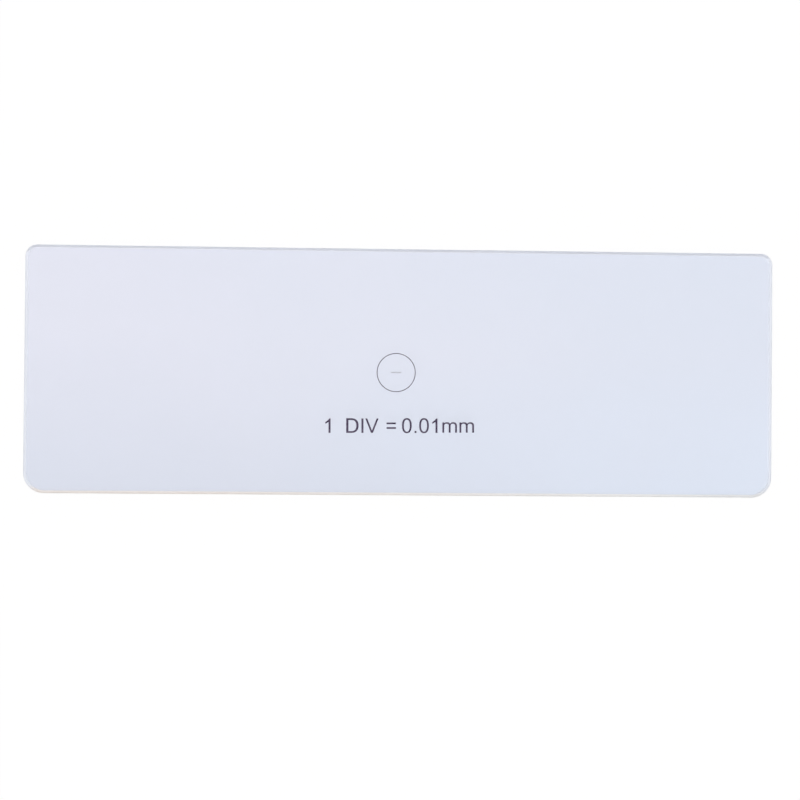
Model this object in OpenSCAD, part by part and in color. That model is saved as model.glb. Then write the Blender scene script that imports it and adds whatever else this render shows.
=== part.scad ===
// Stage micrometer: a microscope slide that carries a ring and a one millimetre scale.
// Sizes are in millimetres. The origin is the centre of the underside, X runs along the
// slide, Y across it towards the far edge, and Z up through the glass to the marked face.

/* [Glass plate] */
// Length of the plate
slide_l = 76; // [60:0.5:90]
// Width of the plate
slide_w = 25; // [20:0.5:30]
// Thickness of the glass
slide_t = 1; // [0.8:0.05:1.5]
// Radius of the two corners on the far edge
far_corner_r = 1.2; // [0.6:0.1:4]
// Radius of the two corners on the near edge
near_corner_r = 2.1; // [0.6:0.1:4]

/* [Ground rim] */
// How far the bevel reaches in over each face
bevel_w = 0.25; // [0.1:0.05:0.4]
// How far the bevel reaches down the edge wall
bevel_h = 0.15; // [0.1:0.05:0.3]

/* [Marks] */
// Centre of the ring and the scale along the slide
mark_x = -0.575; // [-10:0.025:10]
// Centre of the ring and the scale across the slide
mark_y = -0.05; // [-3:0.05:3]
// How far the marks are turned on the plate, in degrees
mark_turn = 0.45; // [-2:0.05:2]
// Thickness of the dark film that all the marks are made of
film_t = 0.002; // [0.001:0.001:0.01]

/* [Ring] */
// Outer diameter of the ring that shows where the scale lies
ring_d = 3.95; // [3:0.05:10]
// Width of the ring's line
ring_line_w = 0.075; // [0.03:0.005:0.3]

/* [Scale] */
// Length of the scale, from its first line to its last
scale_l = 1; // [0.5:0.1:2]
// Number of divisions in that length
divisions = 100; // [50:10:150]
// Width of one line
line_w = 0.0035; // [0.001:0.0005:0.005]
// Length of a plain line
short_line_l = 0.12; // [0.05:0.01:0.15]
// Length of the line at every fifth division
mid_line_l = 0.16; // [0.12:0.01:0.19]
// Length of the line at every tenth division
long_line_l = 0.2; // [0.16:0.01:0.4]

/* [Hidden] */
$fn = 96;

// Lines that are longer than a plain one come round after this many divisions
mid_step = 5;
long_step = 10;
pitch = scale_l / divisions;
// The lines stand on one foot line, so that the plain ones straddle the ring's centre
scale_foot = -short_line_l / 2;

glass_colour = [0.86, 0.89, 0.95, 0.6];
film_colour = [0.16, 0.14, 0.18];

function line_length(i) =
    i % long_step == 0 ? long_line_l :
    i % mid_step == 0 ? mid_line_l : short_line_l;

// Section through the ground rim, from depth inside the edge wall out to the wall itself
module rim_section(depth) {
    polygon([
        [0, 0],
        [depth - bevel_w, 0],
        [depth, bevel_h],
        [depth, slide_t - bevel_h],
        [depth - bevel_w, slide_t],
        [0, slide_t]
    ]);
}

// One rounded corner: the rim section turned a quarter round the corner's centre
module corner(r) {
    rotate_extrude(angle = 90) rim_section(r);
}

// A long edge as deep as its corners: a straight run between two rounded corners.
// It reaches up Y from zero.
module long_edge(r) {
    run = slide_l / 2 - r;
    translate([-run, 0, 0]) rotate([90, 0, 90]) linear_extrude(2 * run) rim_section(r);
    translate([run, 0, 0]) corner(r);
    translate([-run, 0, 0]) mirror([1, 0, 0]) corner(r);
}

// The plate between its two long edges, with the rim section at both ends
module middle(near_y, far_y) {
    translate([0, far_y, 0]) rotate([90, 0, 0]) linear_extrude(far_y - near_y) {
        rim_section(slide_l / 2);
        mirror([1, 0]) rim_section(slide_l / 2);
    }
}

module glass_slide() {
    far_y = slide_w / 2 - far_corner_r;
    near_y = near_corner_r - slide_w / 2;
    color(glass_colour) {
        middle(near_y, far_y);
        translate([0, far_y, 0]) long_edge(far_corner_r);
        translate([0, near_y, 0]) mirror([0, 1, 0]) long_edge(near_corner_r);
    }
}

// Puts a flat mark on the upper face, as thick as the film
module on_face() {
    translate([mark_x, mark_y, slide_t]) rotate([0, 0, mark_turn])
        linear_extrude(film_t) children();
}

module ring_mark() {
    color(film_colour) on_face() difference() {
        circle(d = ring_d);
        circle(d = ring_d - 2 * ring_line_w);
    }
}

module scale_lines() {
    color(film_colour) on_face()
        for (i = [0 : divisions])
            translate([i * pitch - scale_l / 2 - line_w / 2, scale_foot])
                square([line_w, line_length(i)]);
}

glass_slide();
ring_mark();
scale_lines();
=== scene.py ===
# Stage micrometer: a clear glass microscope slide whose face carries a ring, a ruled scale
# and a legend. X runs along the slide, Y across it towards the far edge, Z up out of the
# marked face. Pieces are modelled in millimetres and brought down to metres when finished.
from math import radians

import bmesh
import bpy
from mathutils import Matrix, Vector


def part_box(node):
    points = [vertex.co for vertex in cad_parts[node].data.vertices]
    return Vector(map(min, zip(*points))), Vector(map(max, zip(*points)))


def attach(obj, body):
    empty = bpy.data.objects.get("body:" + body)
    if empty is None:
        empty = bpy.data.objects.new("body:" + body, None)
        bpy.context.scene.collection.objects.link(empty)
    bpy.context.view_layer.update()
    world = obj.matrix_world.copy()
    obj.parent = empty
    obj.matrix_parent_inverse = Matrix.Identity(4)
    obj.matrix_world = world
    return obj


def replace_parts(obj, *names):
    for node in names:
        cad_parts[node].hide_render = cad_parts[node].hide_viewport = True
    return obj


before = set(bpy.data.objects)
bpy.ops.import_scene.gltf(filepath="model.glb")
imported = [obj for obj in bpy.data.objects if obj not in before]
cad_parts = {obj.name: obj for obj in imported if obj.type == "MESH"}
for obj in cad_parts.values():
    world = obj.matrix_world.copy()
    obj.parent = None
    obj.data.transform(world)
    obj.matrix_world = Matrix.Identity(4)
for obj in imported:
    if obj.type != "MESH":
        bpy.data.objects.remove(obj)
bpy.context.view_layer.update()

MM = 0.001
BODY = "root"

# Glass plate, in millimetres
FAR_CORNER_R = 1.2
NEAR_CORNER_R = 2.1
CORNER_STEPS = 24
# Smooths the steps round a corner, and leaves the two faces dead flat up to their rims
CORNER_SMOOTHING = radians(5)
BEVEL_ACROSS = 0.25
BEVEL_DOWN = 0.15
ARRIS_ROUND = 0.025
ARRIS_STEPS = 2
# The upper face lies this much lower than the marks, so that no two faces coincide
HAIR = 0.0002
# The two polished faces are those whose normals are at least this upright
FLAT = 0.999

# Ring, in millimetres
RING_LINE_W = 0.075
RING_STEPS = 192
RING_SMOOTHING = radians(30)

# Legend, in millimetres: its left end and foot line are measured from the middle of the ring
LEGEND_LEFT = -7.185
LEGEND_FOOT = -6.175
LEGEND_TURN = radians(0.45)
CAP_H = 1.465
CAP_STROKE = 0.205
SMALL_H = 0.74 * CAP_H
SMALL_STROKE = 0.19
SMALL_THIN_STROKE = 0.15
# How far a round form reaches past a straight one
OVERSHOOT = 0.02
# How far a zero reaches below the foot line and above the capitals
ZERO_BELOW = 0.03
ZERO_ABOVE = 0.036
# How full the rounded shoulders of a zero and of the letters are, where 0.5 is a plain arc
ZERO_SHOULDER = 0.557
LETTER_SHOULDER = 0.54
SHOULDER_STEPS = 12
# Points nearer than this to each other are made one after a cut
CLEAN_UP = 0.0002

# Glass
GLASS_IOR = 1.52
# The colour of the glass towards each corner of the plate: partly its own lilac tint and partly
# painted light and shade, lighter at the far left and darker towards the near edge, most of all at
# the near left
FAR_LEFT_TINT_AND_PAINTED_LIGHT = (0.755, 0.769, 0.861)
FAR_RIGHT_TINT_AND_PAINTED_LIGHT = (0.717, 0.758, 0.855)
NEAR_LEFT_TINT_AND_PAINTED_LIGHT = (0.673, 0.709, 0.805)
NEAR_RIGHT_TINT_AND_PAINTED_LIGHT = (0.707, 0.775, 0.889)
# The colour of the bevels along the far edge, at the two ends and along the near edge. Painted
# shade darkens the far bevel, and a painted reflection of warm light warms the near bevels, most at
# the left; the right tip of the near edge is a plainer grey.
FAR_RIM_PAINTED_SHADE = (0.64, 0.665, 0.735)
END_RIM = (0.87, 0.90, 0.97)
NEAR_RIM_LEFT_PAINTED_REFLECTION = (0.835, 0.76, 0.705)
NEAR_RIM_RIGHT_PAINTED_REFLECTION = (0.835, 0.825, 0.81)
NEAR_RIM_TIP = (0.77, 0.765, 0.76)
# The tint of the upright wall between the bevels, all the way round
WALL_TONE = (0.86, 0.88, 0.90)
# The lengths over which one colour of the rim passes into the next, in millimetres
CORNER_FADE = 0.6
WALL_FADE = 0.05
# The tint that lamp light takes on as it passes a polished face or the rim
POLISHED_LAMP_TINT = (0.90, 0.91, 0.94)
GROUND_LAMP_TINT = (0.84, 0.86, 0.88)

# The two tones between which the film is mottled
FILM_DARK = (0.066, 0.052, 0.090)
FILM_PALE = (0.090, 0.072, 0.114)

# Floor and room. A ray that shows them finds white. All other light finds them dimmer.
FLOOR_SIDE = 6
# The floor lies this much below the slide, in millimetres, so that no two faces coincide
FLOOR_DROP = 0.05
FLOOR_GREY = (0.8, 0.8, 0.8)
# What shows of the floor is mostly its own glow, with a little grey that takes the shadows
FLOOR_GLOW = 0.865
FLOOR_SHADE = (0.14, 0.14, 0.14)
ROOM_LIGHT = 0.55

# Lamp: a wide one from above and from the near side
LAMP_TURN = (33, 0, -12)
LAMP_STRENGTH = 1.68
LAMP_WIDTH = 30
LAMP_COLOUR = (1.0, 0.97, 0.94)

# Camera, in millimetres and degrees: nearly straight above the slide
EYE_PLACE = (-13.58, -6.64, 225.86)
EYE_TURN = (0.942, -3.422, 0.457)
EYE_LENS = 100
EYE_SENSOR = 36


# ---------------------------------------------------------------- modelling helpers

def clear_selection():
    """Leaves nothing selected, so that an operator acts only on what it is meant to."""
    if bpy.context.object and bpy.context.object.mode != "OBJECT":
        bpy.ops.object.mode_set(mode="OBJECT")
    bpy.ops.object.select_all(action="DESELECT")


def only(piece):
    """Makes piece the one selected and active object."""
    clear_selection()
    piece.select_set(True)
    bpy.context.view_layer.objects.active = piece


def choose(kind, test):
    """In edit mode, selects just the vertices, edges or faces that pass the test."""
    bpy.ops.mesh.select_mode(type=kind)
    bpy.ops.mesh.select_all(action="DESELECT")
    data = bpy.context.object.data
    shape = bmesh.from_edit_mesh(data)
    for item in {"VERT": shape.verts, "EDGE": shape.edges, "FACE": shape.faces}[kind]:
        item.select_set(test(item))
    shape.select_flush_mode()
    bmesh.update_edit_mesh(data)


def raise_film(height=1.0):
    """Gives a flat mark its thickness, turns all its faces outwards and ends edit mode."""
    bpy.ops.mesh.select_all(action="SELECT")
    bpy.ops.mesh.extrude_region_move(TRANSFORM_OT_translate={"value": (0, 0, height)})
    bpy.ops.mesh.select_all(action="SELECT")
    bpy.ops.mesh.normals_make_consistent(inside=False)
    bpy.ops.object.mode_set(mode="OBJECT")


def settle(piece, place, size=(MM, MM, MM)):
    """Puts a piece's place and its scale in metres into its mesh."""
    only(piece)
    piece.location = place
    piece.scale = size
    bpy.ops.object.transform_apply(location=True, rotation=True, scale=True)


def joined(pieces, name):
    """One object made of several that don't touch."""
    clear_selection()
    for piece in pieces:
        piece.select_set(True)
    bpy.context.view_layer.objects.active = pieces[0]
    bpy.ops.object.join()
    whole = bpy.context.object
    whole.name = whole.data.name = name
    return whole


def combined(whole, others, operation):
    """Adds the others to a solid, or cuts them out of it."""
    for other in others:
        only(whole)
        step = whole.modifiers.new(operation.lower(), "BOOLEAN")
        step.operation = operation
        step.solver = "EXACT"
        step.object = other
        bpy.ops.object.modifier_apply(modifier=step.name)
        bpy.data.objects.remove(other)
    # The cuts leave a few faces of no width
    bpy.ops.object.mode_set(mode="EDIT")
    bpy.ops.mesh.select_all(action="SELECT")
    bpy.ops.mesh.remove_doubles(threshold=CLEAN_UP)
    bpy.ops.mesh.dissolve_degenerate(threshold=CLEAN_UP)
    bpy.ops.object.mode_set(mode="OBJECT")
    return whole


def dress(piece, body, slot, *materials):
    """Gives a piece its materials and the body that it rides on. The slot is not used."""
    piece.data.materials.clear()
    for material in materials:
        piece.data.materials.append(material)
    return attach(piece, body)


# ---------------------------------------------------------------- material helpers

def start_material(name):
    """A new node material: its nodes, its links, its surface shader and its output."""
    material = bpy.data.materials.new(name)
    material.use_nodes = True
    nodes, links = material.node_tree.nodes, material.node_tree.links
    return material, nodes, links, nodes["Principled BSDF"], nodes["Material Output"]


def calculated(nodes, links, operation, first, second):
    """The result of a sum on two values. Each is a number or a node's output."""
    step = nodes.new("ShaderNodeMath")
    step.operation = operation
    for socket, value in zip(step.inputs, (first, second)):
        if isinstance(value, float):
            socket.default_value = value
        else:
            links.new(value, socket)
    return step.outputs["Value"]


def object_noise(nodes, links, scale, detail, roughness=0.5):
    """Noise on the piece's own coordinates, with scale in features per metre."""
    place = nodes.new("ShaderNodeTexCoord")
    noise = nodes.new("ShaderNodeTexNoise")
    noise.inputs["Scale"].default_value = scale
    noise.inputs["Detail"].default_value = detail
    noise.inputs["Roughness"].default_value = roughness
    links.new(place.outputs["Object"], noise.inputs["Vector"])
    return noise.outputs["Fac"]


def spread(nodes, links, value, low, high, from_low=0.3, from_high=0.7):
    """Stretches a value to run from low to high. Noise mostly keeps between 0.3 and 0.7."""
    span = nodes.new("ShaderNodeMapRange")
    span.inputs["From Min"].default_value = from_low
    span.inputs["From Max"].default_value = from_high
    span.inputs["To Min"].default_value = low
    span.inputs["To Max"].default_value = high
    links.new(value, span.inputs["Value"])
    return span.outputs["Result"]


def waver(nodes, links, scale, detail, reach):
    """A slow swing to both sides of zero, with reach in millimetres."""
    noise = object_noise(nodes, links, scale, detail)
    return spread(nodes, links, noise, -reach * MM, reach * MM)


def slope(nodes, links, direction, start, run, bend=None):
    """Climbs from zero at start to one after run, both in millimetres along a direction."""
    place = nodes.new("ShaderNodeTexCoord")
    along = nodes.new("ShaderNodeVectorMath")
    along.operation = "DOT_PRODUCT"
    along.inputs[1].default_value = direction
    links.new(place.outputs["Object"], along.inputs[0])
    distance = along.outputs["Value"]
    if bend:
        distance = calculated(nodes, links, "ADD", distance, bend)
    return spread(nodes, links, distance, 0.0, 1.0, start * MM, (start + run) * MM)


def blend_colours(nodes, links, factor, first, second):
    """Runs from one colour to another. Each is a colour or a node's output."""
    mix = nodes.new("ShaderNodeMix")
    mix.data_type = "RGBA"
    for socket, colour in (("A", first), ("B", second)):
        if isinstance(colour, tuple):
            mix.inputs[socket].default_value = (*colour, 1)
        else:
            links.new(colour, mix.inputs[socket])
    links.new(factor, mix.inputs["Factor"])
    return mix.outputs["Result"]


def blend_shaders(nodes, links, factor, first, second, output):
    """Shows the first shader where the factor is zero and the second where it is one."""
    mix = nodes.new("ShaderNodeMixShader")
    links.new(factor, mix.inputs["Fac"])
    links.new(first, mix.inputs[1])
    links.new(second, mix.inputs[2])
    links.new(mix.outputs["Shader"], output.inputs["Surface"])


def let_lamps_through(nodes, links, shader, output, tint):
    """Lets lamp light pass a glass surface, with a tint, as thin glass does."""
    rays = nodes.new("ShaderNodeLightPath")
    clear = nodes.new("ShaderNodeBsdfTransparent")
    clear.inputs["Color"].default_value = (*tint, 1)
    in_shadow = rays.outputs["Is Shadow Ray"]
    blend_shaders(nodes, links, in_shadow, shader.outputs["BSDF"], clear.outputs["BSDF"], output)


# ---------------------------------------------------------------- materials

def polished_glass():
    """Float glass with a pale lilac tint. Across the face it runs cooler to the right and darker
    towards the near edge, partly in the glass and partly as painted light and shade.
    """
    material, nodes, links, shader, output = start_material("polished_glass")
    shader.inputs["Transmission Weight"].default_value = 1.0
    shader.inputs["IOR"].default_value = GLASS_IOR
    wide = waver(nodes, links, scale=70.0, detail=2.0, reach=6)
    to_right = slope(nodes, links, direction=(1, 0.74, 0), start=-23.3, run=62, bend=wide)
    narrow = waver(nodes, links, scale=45.0, detail=1.0, reach=1.5)
    to_near = slope(nodes, links, direction=(-0.05, -1, 0), start=-2.7, run=18.3, bend=narrow)
    # Painted light and shade: the glass is lighter towards the far left and darker towards the near
    # edge, most of all at the near left
    far = blend_colours(nodes, links, to_right, FAR_LEFT_TINT_AND_PAINTED_LIGHT, FAR_RIGHT_TINT_AND_PAINTED_LIGHT)
    near = blend_colours(nodes, links, to_right, NEAR_LEFT_TINT_AND_PAINTED_LIGHT, NEAR_RIGHT_TINT_AND_PAINTED_LIGHT)
    links.new(blend_colours(nodes, links, to_near, far, near), shader.inputs["Base Color"])
    smear = object_noise(nodes, links, scale=350.0, detail=3.0)
    links.new(spread(nodes, links, smear, low=0.01, high=0.04), shader.inputs["Roughness"])
    let_lamps_through(nodes, links, shader, output, POLISHED_LAMP_TINT)
    return material


def rim_tint_and_painted_light(nodes, links, box):
    """The colour of the ground rim: the wall keeps its own tint, while the bevels carry painted
    light, with painted shade on the far bevel and a painted warm reflection on the near ones.
    """
    low, high = (corner / MM for corner in box)
    near_bevel = low.y + BEVEL_ACROSS
    far_bevel = high.y - BEVEL_ACROSS
    wall_foot = low.z + BEVEL_DOWN
    wall_top = high.z - BEVEL_DOWN

    to_right = slope(nodes, links, direction=(1, 0, 0), start=-20, run=50)
    to_tip = slope(nodes, links, direction=(1, 0, 0), start=27, run=6)
    # Painted reflection: the near bevels are warm, most of all towards the left
    near = blend_colours(nodes, links, to_right, NEAR_RIM_LEFT_PAINTED_REFLECTION, NEAR_RIM_RIGHT_PAINTED_REFLECTION)
    near = blend_colours(nodes, links, to_tip, near, NEAR_RIM_TIP)

    off_near = slope(nodes, links, (0, 1, 0), near_bevel, CORNER_FADE)
    at_far = slope(nodes, links, (0, 1, 0), far_bevel - CORNER_FADE, CORNER_FADE)
    bevels = blend_colours(nodes, links, off_near, near, END_RIM)
    # Painted shade: the far bevel is darker than the rest of the rim
    bevels = blend_colours(nodes, links, at_far, bevels, FAR_RIM_PAINTED_SHADE)

    above = slope(nodes, links, (0, 0, 1), wall_top - WALL_FADE, WALL_FADE)
    below = slope(nodes, links, (0, 0, -1), -wall_foot - WALL_FADE, WALL_FADE)
    off_wall = calculated(nodes, links, "MAXIMUM", above, below)
    return blend_colours(nodes, links, off_wall, WALL_TONE, bevels)


def ground_glass(box):
    """The rim: glass cut and ground matt, with fine grinding marks."""
    material, nodes, links, shader, output = start_material("ground_glass")
    shader.inputs["Transmission Weight"].default_value = 0.65
    shader.inputs["IOR"].default_value = GLASS_IOR
    # The rim's colour carries painted shade on the far bevel and a painted warm reflection on the
    # near ones
    links.new(rim_tint_and_painted_light(nodes, links, box), shader.inputs["Base Color"])
    grain = object_noise(nodes, links, scale=9000.0, detail=3.0, roughness=0.7)
    links.new(spread(nodes, links, grain, low=0.35, high=0.6), shader.inputs["Roughness"])
    bump = nodes.new("ShaderNodeBump")
    bump.inputs["Strength"].default_value = 0.3
    bump.inputs["Distance"].default_value = 0.01 * MM
    links.new(grain, bump.inputs["Height"])
    links.new(bump.outputs["Normal"], shader.inputs["Normal"])
    let_lamps_through(nodes, links, shader, output, GROUND_LAMP_TINT)
    return material


def dark_film():
    """Thin metal film, dark, with a slight unevenness in tone and gloss."""
    material, nodes, links, shader, _ = start_material("dark_film")
    shader.inputs["Metallic"].default_value = 1.0
    mottle = object_noise(nodes, links, scale=2500.0, detail=2.0)
    paler = spread(nodes, links, mottle, low=0.0, high=1.0)
    links.new(blend_colours(nodes, links, paler, FILM_DARK, FILM_PALE), shader.inputs["Base Color"])
    links.new(spread(nodes, links, mottle, low=0.22, high=0.38), shader.inputs["Roughness"])
    return material


# ---------------------------------------------------------------- glass plate

def glass_plate(box, polished, ground):
    """The plate, polished on its two faces, with rounded corners and a ground, bevelled rim."""
    low, high = (corner / MM for corner in box)
    size = high - low
    top = high.z - HAIR
    clear_selection()
    bpy.ops.mesh.primitive_cube_add(size=1, location=(0, 0, 0), scale=(size.x, size.y, top - low.z))
    plate = bpy.context.object
    plate.name = plate.data.name = "slide_glass"
    bpy.ops.object.transform_apply(location=False, rotation=False, scale=True)
    bpy.ops.object.mode_set(mode="EDIT")

    def upright(edge, side):
        """A corner of the plate, on its far side or its near one."""
        one, other = (v.co for v in edge.verts)
        return abs(one.z - other.z) > 0.5 * size.z and one.y * side > 0.25 * size.y

    for side, radius in ((1, FAR_CORNER_R), (-1, NEAR_CORNER_R)):
        choose("EDGE", lambda edge: upright(edge, side))
        bpy.ops.mesh.bevel(offset=radius, segments=CORNER_STEPS, affect="EDGES")

    def outline(edge):
        """The edge round one of the two faces."""
        flat = [abs(face.normal.z) > FLAT for face in edge.link_faces]
        return any(flat) and not all(flat)

    # The bevel is cut as deep as it is wide, and its points on the wall then move to their depth
    choose("EDGE", outline)
    bpy.ops.mesh.bevel(offset=BEVEL_ACROSS, segments=1, affect="EDGES")
    for side in (1, -1):
        choose("VERT", lambda v: 0 < v.co.z * side < 0.4 * size.z)
        bpy.ops.transform.translate(value=(0, 0, side * (BEVEL_ACROSS - BEVEL_DOWN)))

    def arris(edge):
        """Where a face meets its bevel, or a bevel the wall."""
        tilts = [round(abs(face.normal.z), 1) for face in edge.link_faces]
        return len(tilts) == 2 and tilts[0] != tilts[1]

    choose("EDGE", arris)
    bpy.ops.mesh.bevel(offset=ARRIS_ROUND, segments=ARRIS_STEPS, affect="EDGES")
    bpy.ops.object.mode_set(mode="OBJECT")
    dress(plate, BODY, "clear_glass", polished, ground)
    bpy.ops.object.mode_set(mode="EDIT")
    choose("FACE", lambda face: abs(face.normal.z) < FLAT)
    plate.active_material_index = 1
    bpy.ops.object.material_slot_assign()
    settle(plate, (0, 0, (top + low.z) / 2 * MM))
    bpy.ops.object.shade_smooth_by_angle(angle=CORNER_SMOOTHING)
    return plate


# ---------------------------------------------------------------- ring

def ring_line(box):
    """A flat band round the scale."""
    low, high = (corner / MM for corner in box)
    radius = (high.x - low.x) / 2
    inner = (radius - RING_LINE_W) / radius
    clear_selection()
    bpy.ops.mesh.primitive_circle_add(vertices=RING_STEPS, radius=radius, fill_type="NOTHING")
    ring = bpy.context.object
    ring.name = ring.data.name = "ring_line"
    bpy.ops.object.mode_set(mode="EDIT")
    bpy.ops.mesh.extrude_edges_move()
    bpy.ops.transform.resize(value=(inner, inner, 1), center_override=(0, 0, 0))
    raise_film(high.z - low.z)
    middle = (low + high) / 2
    settle(ring, (middle.x * MM, middle.y * MM, low.z * MM))
    bpy.ops.object.shade_smooth_by_angle(angle=RING_SMOOTHING)
    return ring


# ---------------------------------------------------------------- legend
# Each sign is built one unit thick, with its left end at zero and its foot on zero.

def bar(left, foot, width, height, lean=0.0):
    """An upright or lying stroke. With lean, its foot is moved that far along X."""
    clear_selection()
    middle = (left + width / 2, foot + height / 2, 0.5)
    bpy.ops.mesh.primitive_cube_add(size=1, location=middle, scale=(width, height, 1))
    stroke = bpy.context.object
    bpy.ops.object.transform_apply(location=True, rotation=False, scale=True)
    bpy.ops.object.mode_set(mode="EDIT")
    choose("VERT", lambda v: v.co.y < middle[1])
    bpy.ops.transform.translate(value=(lean, 0, 0))
    bpy.ops.object.mode_set(mode="OBJECT")
    return stroke


def rounded_plate(left, foot, width, height, radius, pick, level=0.0):
    """A flat plate whose picked corners are rounded, left in edit mode."""
    clear_selection()
    middle = (left + width / 2, foot + height / 2, level)
    bpy.ops.mesh.primitive_plane_add(size=1, location=middle)
    plate = bpy.context.object
    plate.scale = (width, height, 1)
    bpy.ops.object.transform_apply(location=True, rotation=False, scale=True)
    bpy.ops.object.mode_set(mode="EDIT")
    choose("VERT", lambda v: pick(v.co.x - middle[0], v.co.y - middle[1]))
    bpy.ops.mesh.bevel(
        offset=radius, segments=SHOULDER_STEPS, profile=LETTER_SHOULDER, affect="VERTICES",
    )
    return plate


def dome(left, foot, width, height, low=0.0, high=1.0):
    """A filled plate with a round top, as thick as it is from low to high."""
    # The two shoulders all but meet in the middle
    radius = 0.47 * width
    plate = rounded_plate(left, foot, width, height, radius, lambda x, y: y > 0, low)
    raise_film(high - low)
    return plate


def figure_one():
    """A stem that is cut off at a slant, with a flag that climbs to it and widens on its way."""
    stem_left = 0.347
    slant = 0.09
    flag_left = 0.02
    flag_foot = 0.915
    flag_width = stem_left + 0.06
    flag_stroke = 0.175
    flag_rise = 0.235
    flag_growth = 0.075
    stem = bar(stem_left, 0, CAP_STROKE, CAP_H)
    only(stem)
    bpy.ops.object.mode_set(mode="EDIT")
    stem_middle = stem_left + CAP_STROKE / 2
    choose("EDGE", lambda e: all(v.co.x < stem_middle and v.co.y > CAP_H / 2 for v in e.verts))
    bpy.ops.mesh.bevel(offset=slant, segments=1, affect="EDGES")
    bpy.ops.object.mode_set(mode="OBJECT")
    flag = bar(flag_left, flag_foot, flag_width, flag_stroke)
    only(flag)
    bpy.ops.object.mode_set(mode="EDIT")
    choose("VERT", lambda v: v.co.x > flag_width / 2)
    bpy.ops.transform.translate(value=(0, flag_rise, 0))
    flag_end_middle = flag_foot + flag_rise + flag_stroke / 2
    choose("VERT", lambda v: v.co.x > flag_width / 2 and v.co.y > flag_end_middle)
    bpy.ops.transform.translate(value=(0, flag_growth, 0))
    bpy.ops.object.mode_set(mode="OBJECT")
    return combined(stem, [flag], "UNION")


def figure_zero():
    """An oval stroke with full shoulders, thinner at its top and foot than at its sides."""
    width = 0.985
    height = CAP_H + ZERO_BELOW + ZERO_ABOVE
    side_stroke = 0.194
    cross_stroke = 0.161
    # A unit square's corners are rounded until they all but meet, and it is then stretched
    nearly_half = 0.499
    middle = (width / 2, height / 2 - ZERO_BELOW, 0)
    clear_selection()
    bpy.ops.mesh.primitive_plane_add(size=1, location=middle)
    stroke = bpy.context.object
    bpy.ops.object.transform_apply(location=True, rotation=False, scale=False)
    bpy.ops.object.mode_set(mode="EDIT")
    bpy.ops.mesh.select_all(action="SELECT")
    bpy.ops.mesh.bevel(
        offset=nearly_half, segments=SHOULDER_STEPS, profile=ZERO_SHOULDER, affect="VERTICES",
    )
    bpy.ops.mesh.select_all(action="SELECT")
    bpy.ops.mesh.delete(type="ONLY_FACE")
    bpy.ops.mesh.select_all(action="SELECT")
    bpy.ops.transform.resize(value=(width, height, 1), center_override=middle)
    bpy.ops.mesh.extrude_edges_move()
    inner = (1 - 2 * side_stroke / width, 1 - 2 * cross_stroke / height, 1)
    bpy.ops.transform.resize(value=inner, center_override=middle)
    raise_film()
    return stroke


def capital_d():
    """A plate with two rounded corners, whose inside is inset, narrowed and cut out."""
    width = 1.255
    height = CAP_H + OVERSHOOT
    bow_radius = 0.72
    side_stroke = 0.23
    cross_stroke = 0.183
    letter = rounded_plate(0, 0, width, height, bow_radius, lambda x, y: x > 0)
    # The counter is inset by the cross stroke all round, and then narrowed for the thicker sides
    choose("FACE", lambda face: True)
    bpy.ops.mesh.inset(thickness=cross_stroke, use_outset=False)
    narrower = (width - 2 * side_stroke) / (width - 2 * cross_stroke)
    bpy.ops.transform.resize(value=(narrower, 1, 1), center_override=(width / 2, height / 2, 0))
    bpy.ops.mesh.delete(type="FACE")
    raise_film()
    return letter


def capital_i():
    """A plain stem."""
    return bar(0, 0, CAP_STROKE, CAP_H)


def capital_v():
    """Two arms that lean until they share one foot."""
    width = 1.35
    arm = 0.195
    lean = (width - arm) / 2
    left_arm = bar(0, 0, arm, CAP_H, lean)
    right_arm = bar(width - arm, 0, arm, CAP_H, -lean)
    return combined(left_arm, [right_arm], "UNION")


def equals_sign():
    """Two lying strokes, a third and two thirds of the way up a capital."""
    width = 0.95
    thick = 0.12 * CAP_H
    lines = [bar(0, CAP_H * level - thick / 2, width, thick) for level in (0.34, 0.66)]
    return joined(lines, "equals")


def full_stop():
    """A square dot."""
    side = 0.195
    return bar(0, 0, side, side)


def small_m():
    """Two round tops that spring from the middle of a stem, with the two counters cut out."""
    width = 1.488
    foot = 0.022
    # How far the solid of a counter stands out of the letter, at its foot and on both faces
    past = 0.5
    pitch = (width - SMALL_STROKE) / 2
    height = SMALL_H - foot
    letter = bar(0, foot, SMALL_STROKE, height - OVERSHOOT)
    tops = []
    counters = []
    for i in range(2):
        left = i * pitch
        tops.append(dome(left + SMALL_STROKE / 2, foot, pitch + SMALL_STROKE / 2, height))
        counters.append(dome(
            left + SMALL_STROKE, foot - past, pitch - SMALL_STROKE,
            height + past - SMALL_THIN_STROKE, low=-past, high=1 + past,
        ))
    combined(letter, tops, "UNION")
    return combined(letter, counters, "DIFFERENCE")


# What the legend says, sign by sign, and where each sign's left end lies, in millimetres
LEGEND = (
    (figure_one, 0.03), (capital_d, 2.165), (capital_i, 3.71), (capital_v, 4.10),
    (equals_sign, 6.26), (figure_zero, 7.825), (full_stop, 9.10), (figure_zero, 9.57),
    (figure_one, 10.88), (small_m, 11.927), (small_m, 13.667),
)


def legend_signs(ring_box):
    """The value of one division, in words and numbers, below the ring."""
    low, high = (corner / MM for corner in ring_box)
    middle = (low + high) / 2
    signs = []
    for make, left in LEGEND:
        sign = make()
        settle(sign, (left, 0, 0), (1, 1, 1))
        signs.append(sign)
    legend = joined(signs, "legend")
    place = (middle.x + LEGEND_LEFT, middle.y + LEGEND_FOOT, low.z)
    legend.rotation_euler.z = LEGEND_TURN
    settle(legend, Vector(place) * MM, (MM, MM, (high.z - low.z) * MM))
    return legend


# ---------------------------------------------------------------- floor, room, lamp and camera

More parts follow.
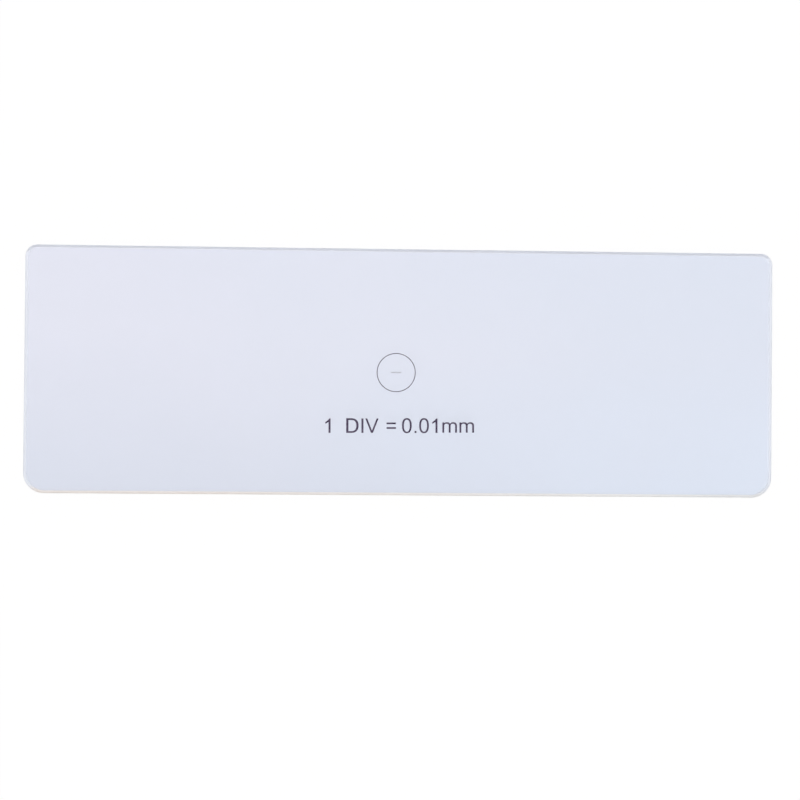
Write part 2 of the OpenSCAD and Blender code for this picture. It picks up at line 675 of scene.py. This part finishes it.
def shown_rays(nodes, links):
    """A factor that is one for rays that show a thing: straight, mirrored or through glass."""
    rays = nodes.new("ShaderNodeLightPath").outputs
    mirrored = calculated(nodes, links, "MAXIMUM", rays["Is Camera Ray"], rays["Is Glossy Ray"])
    all_three = calculated(nodes, links, "MAXIMUM", mirrored, rays["Is Transmission Ray"])
    # Light that has bounced off a matt surface shows nothing, though it may pass glass after that
    unbounced = calculated(nodes, links, "LESS_THAN", rays["Diffuse Depth"], 0.5)
    return calculated(nodes, links, "MULTIPLY", all_three, unbounced)


def white_floor():
    """A wide white floor just under the slide."""
    clear_selection()
    bpy.ops.mesh.primitive_plane_add(size=FLOOR_SIDE, location=(0, 0, -FLOOR_DROP * MM))
    floor = bpy.context.object
    floor.name = "floor"
    material, nodes, links, shader, output = start_material("white_floor")
    shader.inputs["Base Color"].default_value = (*FLOOR_GREY, 1)
    shader.inputs["Roughness"].default_value = 0.9
    shader.inputs["Specular IOR Level"].default_value = 0.0
    glow = nodes.new("ShaderNodeEmission")
    glow.inputs["Strength"].default_value = FLOOR_GLOW
    shade = nodes.new("ShaderNodeBsdfDiffuse")
    shade.inputs["Color"].default_value = (*FLOOR_SHADE, 1)
    shown = nodes.new("ShaderNodeAddShader")
    links.new(glow.outputs["Emission"], shown.inputs[0])
    links.new(shade.outputs["BSDF"], shown.inputs[1])
    factor = shown_rays(nodes, links)
    blend_shaders(nodes, links, factor, shader.outputs["BSDF"], shown.outputs["Shader"], output)
    floor.data.materials.append(material)


def white_room():
    """A world that shows white and lights the slide from all round."""
    world = bpy.data.worlds.new("white_room")
    bpy.context.scene.world = world
    world.use_nodes = True
    nodes, links = world.node_tree.nodes, world.node_tree.links
    plain = nodes["Background"]
    plain.inputs["Color"].default_value = (1, 1, 1, 1)
    plain.inputs["Strength"].default_value = ROOM_LIGHT
    shown = nodes.new("ShaderNodeBackground")
    shown.inputs["Color"].default_value = (1, 1, 1, 1)
    shown.inputs["Strength"].default_value = 1.0
    factor = shown_rays(nodes, links)
    blend_shaders(nodes, links, factor, plain.outputs["Background"], shown.outputs["Background"],
                  nodes["World Output"])


def soft_lamp():
    """One lamp, wide enough for soft shadows."""
    clear_selection()
    bpy.ops.object.light_add(type="SUN", rotation=[radians(turn) for turn in LAMP_TURN])
    lamp = bpy.context.object.data
    lamp.energy = LAMP_STRENGTH
    lamp.angle = radians(LAMP_WIDTH)
    lamp.color = LAMP_COLOUR


def camera():
    """The camera that the scene is seen through."""
    clear_selection()
    bpy.ops.object.camera_add(
        location=[place * MM for place in EYE_PLACE],
        rotation=[radians(turn) for turn in EYE_TURN],
    )
    eye = bpy.context.object
    eye.data.lens = EYE_LENS
    eye.data.sensor_width = EYE_SENSOR
    eye.data.clip_start = 0.01
    eye.data.clip_end = 20
    bpy.context.scene.camera = eye


# ---------------------------------------------------------------- the scene

bpy.context.scene.view_settings.view_transform = "Standard"
white_room()
white_floor()
soft_lamp()
camera()

film = dark_film()
slide_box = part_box("glass_slide")

plate = glass_plate(slide_box, polished_glass(), ground_glass(slide_box))
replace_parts(plate, "glass_slide")

ring = ring_line(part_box("ring_mark"))
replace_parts(dress(ring, BODY, "dark_film", film), "ring_mark")

legend = legend_signs(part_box("ring_mark"))
dress(legend, BODY, "dark_film", film)

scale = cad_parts["scale_lines"]
scale.data.materials.clear()
scale.data.materials.append(film)
